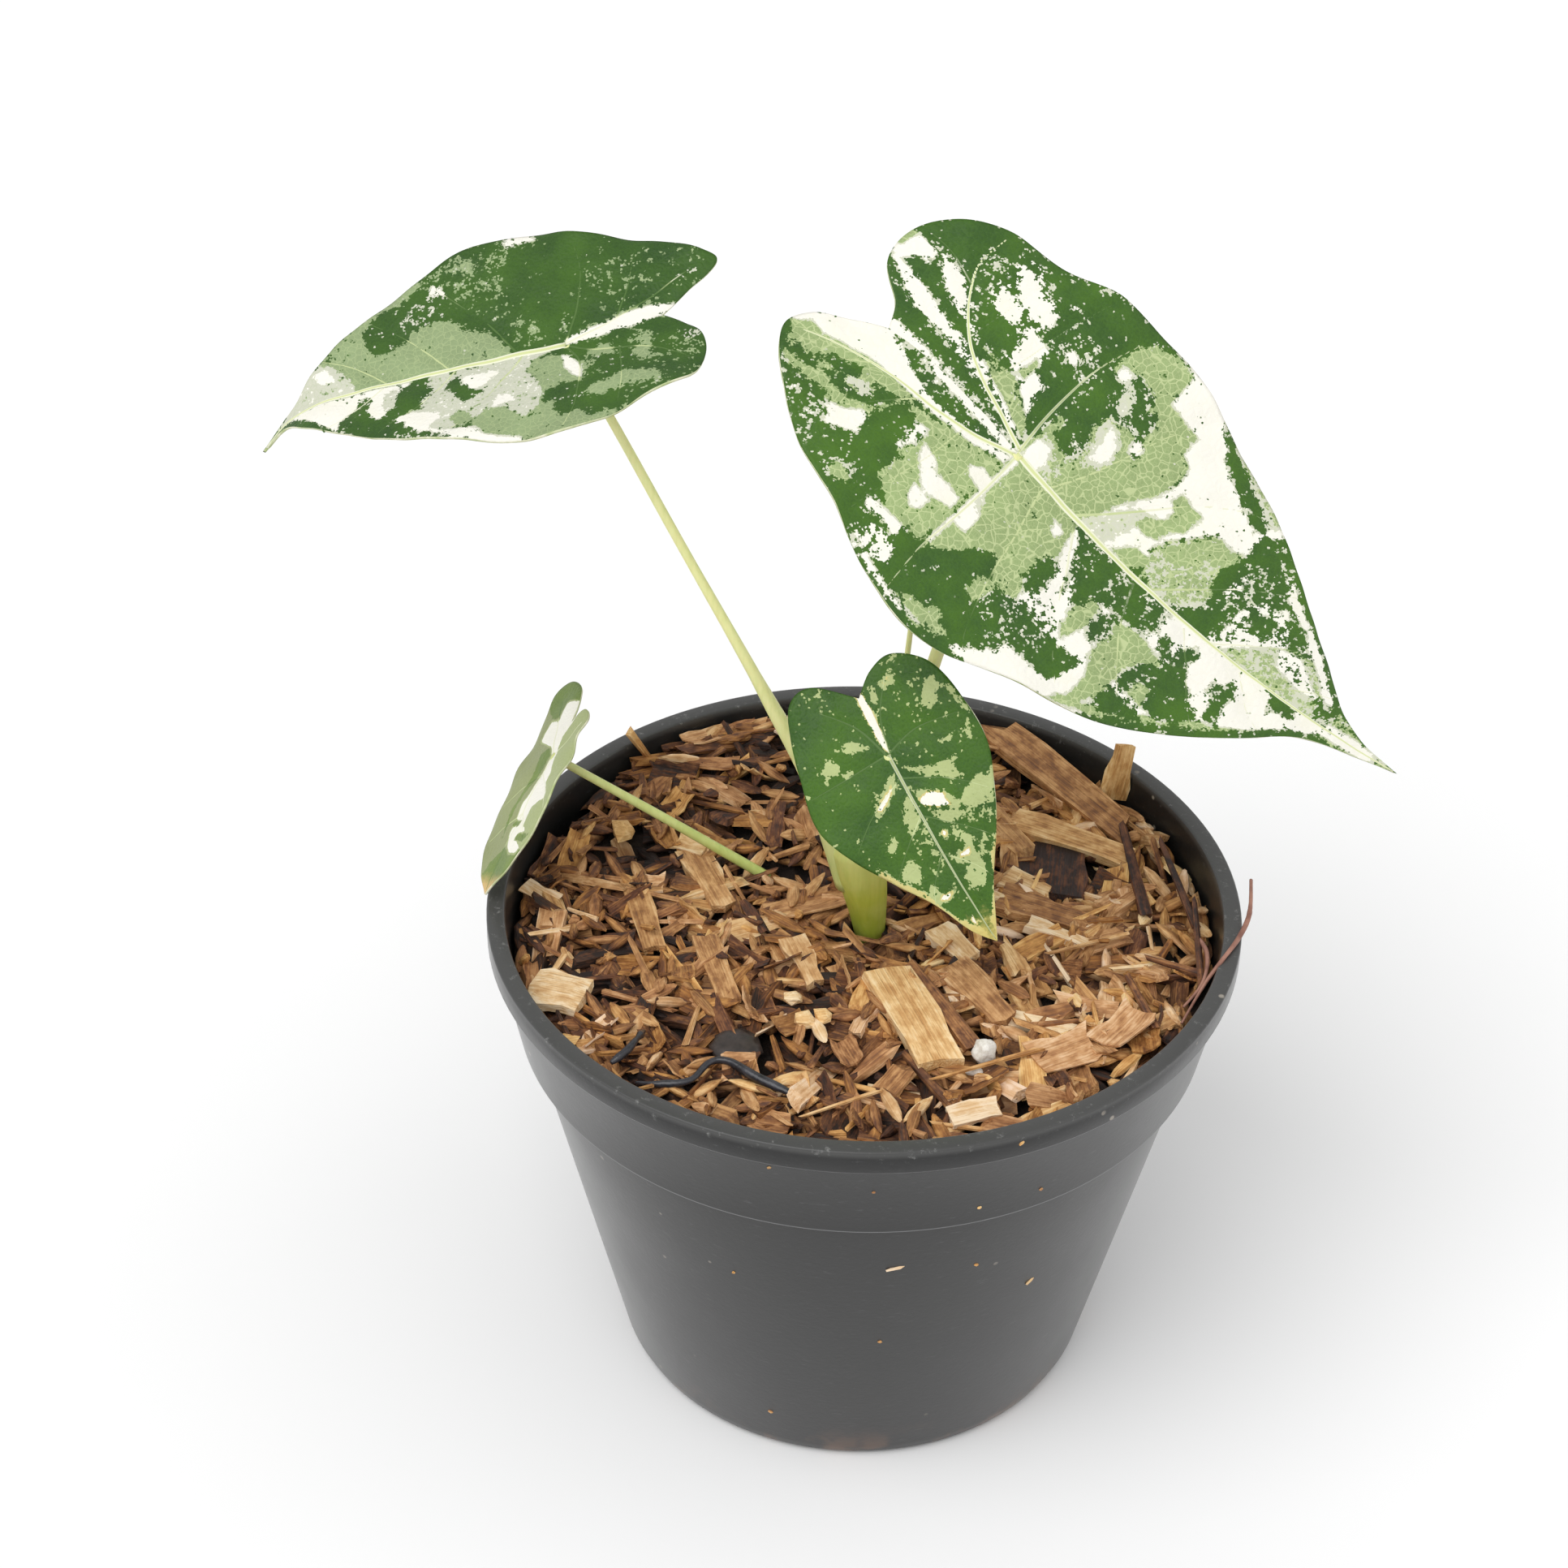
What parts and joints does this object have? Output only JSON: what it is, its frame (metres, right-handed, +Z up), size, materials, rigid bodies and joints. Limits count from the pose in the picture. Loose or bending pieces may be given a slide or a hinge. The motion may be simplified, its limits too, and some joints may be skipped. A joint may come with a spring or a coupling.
{
  "type": "potted aroid houseplant",
  "caption": "Young variegated aroid houseplant: arrow-heart shaped velvety leaves on slim stalks, growing from a bark and husk mix in a round tapered nursery pot.",
  "frame": {"origin": "middle of the pot's flat base, on the surface it stands on", "axes": "+Z up along the pot's axis, +X to the right and -Y towards the viewer, with the large leaf's tip to the right"},
  "size_m": [0.2194, 0.15, 0.2377],
  "materials": {
    "pot_plastic": "matt charcoal moulded plastic with a little dust",
    "bark_mix": "loose dry wood chips, husks and fibre",
    "stem_green": "satin, fleshy",
    "stalk_pale": "satin, fleshy",
    "leaf_variegated": "velvety, marbled green, grey-mint and cream"
  },
  "bodies": {
    "root": {"pot": "pot_plastic", "growing_mix": "bark_mix", "stem_sheath": "stem_green", "leaf_blade_large": "leaf_variegated", "leaf_blade_left": "leaf_variegated", "leaf_blade_front": "leaf_variegated", "leaf_blade_small": "leaf_variegated", "leaf_stalk_large": "stalk_pale", "leaf_stalk_left": "stalk_pale", "leaf_stalk_front": "stalk_pale", "leaf_stalk_small": "stalk_pale", "new_leaf": "stalk_pale"}
  },
  "joints": []
}
